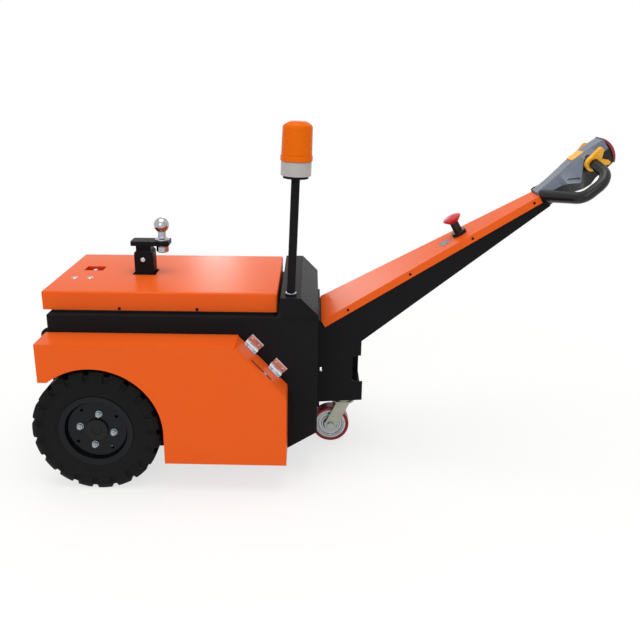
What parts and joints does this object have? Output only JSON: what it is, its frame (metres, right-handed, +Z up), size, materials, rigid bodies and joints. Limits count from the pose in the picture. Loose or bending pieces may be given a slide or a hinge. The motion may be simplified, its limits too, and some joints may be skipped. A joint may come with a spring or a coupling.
{
  "type": "electric trailer dolly",
  "caption": "Walk-behind battery tug that moves trailers by a tow ball on a square receiver, with drive wheels under side lockers and a steering tiller on a swivel castor.",
  "frame": {"origin": "centre of the whole machine's box, at floor level", "axes": "+X from the rear tow clevis towards the tiller head, +Y to the machine's left, +Z up from the floor"},
  "size_m": [1.8736, 0.76, 1.1307],
  "materials": {
    "orange_paint": "glossy sheet-metal enamel",
    "black_paint": "satin black enamel",
    "tyre_rubber": "matt tyre rubber",
    "seal_rubber": "matt rubber",
    "zinc": "zinc plated",
    "chrome": "polished chrome",
    "cast_iron": "painted casting",
    "battery_case": "moulded case",
    "grey_plastic": "fine-grained moulded plastic",
    "black_plastic": "fine-grained moulded plastic",
    "yellow_plastic": "glossy moulded plastic",
    "red_plastic": "glossy moulded plastic",
    "white_plastic": "off-white moulded plastic",
    "amber_lens": "ribbed translucent lens",
    "red_urethane": "cast polyurethane tread",
    "white_nylon": "moulded nylon core"
  },
  "bodies": {
    "root": {"chassis_tub": "black_paint", "console": "black_paint", "battery_pack": "battery_case", "transaxle": "cast_iron", "hood": "orange_paint", "switch_pan": "orange_paint", "hood_studs": "chrome", "hood_seal": "seal_rubber", "hinge_wall_leaves": "chrome", "receiver": "black_paint", "ball_mount": "black_paint", "tow_ball": "chrome", "ball_nut": "chrome", "hitch_pin": "zinc", "beacon_pole": "black_paint", "beacon_base": "white_plastic", "beacon_lens": "amber_lens", "tiller_flange": "black_paint", "tiller_frame": "black_paint", "tiller_cover": "orange_paint", "stop_body": "black_plastic", "stop_knob": "red_plastic", "head_shell": "grey_plastic", "grip_loops": "black_plastic", "throttles": "yellow_plastic", "horn_button": "yellow_plastic", "belly_button": "red_plastic", "castor_plate": "zinc", "tow_clevis": "black_paint", "fender_right": "orange_paint", "fender_left": "orange_paint"},
    "castor_swivel": {"castor_fork": "zinc", "castor_axle": "zinc"},
    "castor_wheel": {"castor_core": "white_nylon", "castor_tread": "red_urethane"},
    "drive_wheel_right": {"tyre_right": "tyre_rubber", "rim_right": "black_paint", "hub_right": "cast_iron"},
    "lid_right": {"locker_lid_right": "orange_paint", "hinge_lid_leaves_right": "chrome"},
    "drive_wheel_left": {"tyre_left": "tyre_rubber", "rim_left": "black_paint", "hub_left": "cast_iron"},
    "lid_left": {"locker_lid_left": "orange_paint", "hinge_lid_leaves_left": "chrome"}
  },
  "joints": [
    {"name": "drive_wheel_right_spin", "type": "hinge", "parent": "root", "child": "drive_wheel_right", "pos_m": [-0.67183, -0.325, 0.2], "axis": [0, 1, 0], "continuous": true},
    {"name": "drive_wheel_left_spin", "type": "hinge", "parent": "root", "child": "drive_wheel_left", "pos_m": [-0.67183, 0.325, 0.2], "axis": [0, 1, 0], "continuous": true},
    {"name": "lid_right_hinge", "type": "hinge", "parent": "root", "child": "lid_right", "pos_m": [-0.22819, -0.276, 0.49343], "axis": [-0.6865, 0, 0.7271], "range_deg": [0, 85]},
    {"name": "lid_left_hinge", "type": "hinge", "parent": "root", "child": "lid_left", "pos_m": [-0.22819, 0.276, 0.49343], "axis": [0.6865, 0, -0.7271], "range_deg": [0, 85]},
    {"name": "castor_swivel_turn", "type": "hinge", "parent": "root", "child": "castor_swivel", "pos_m": [0.10817, 0, 0.156], "axis": [0, 0, 1], "continuous": true},
    {"name": "castor_wheel_spin", "type": "hinge", "parent": "castor_swivel", "child": "castor_wheel", "pos_m": [0.06517, 0, 0.065], "axis": [0, 1, 0], "continuous": true}
  ]
}
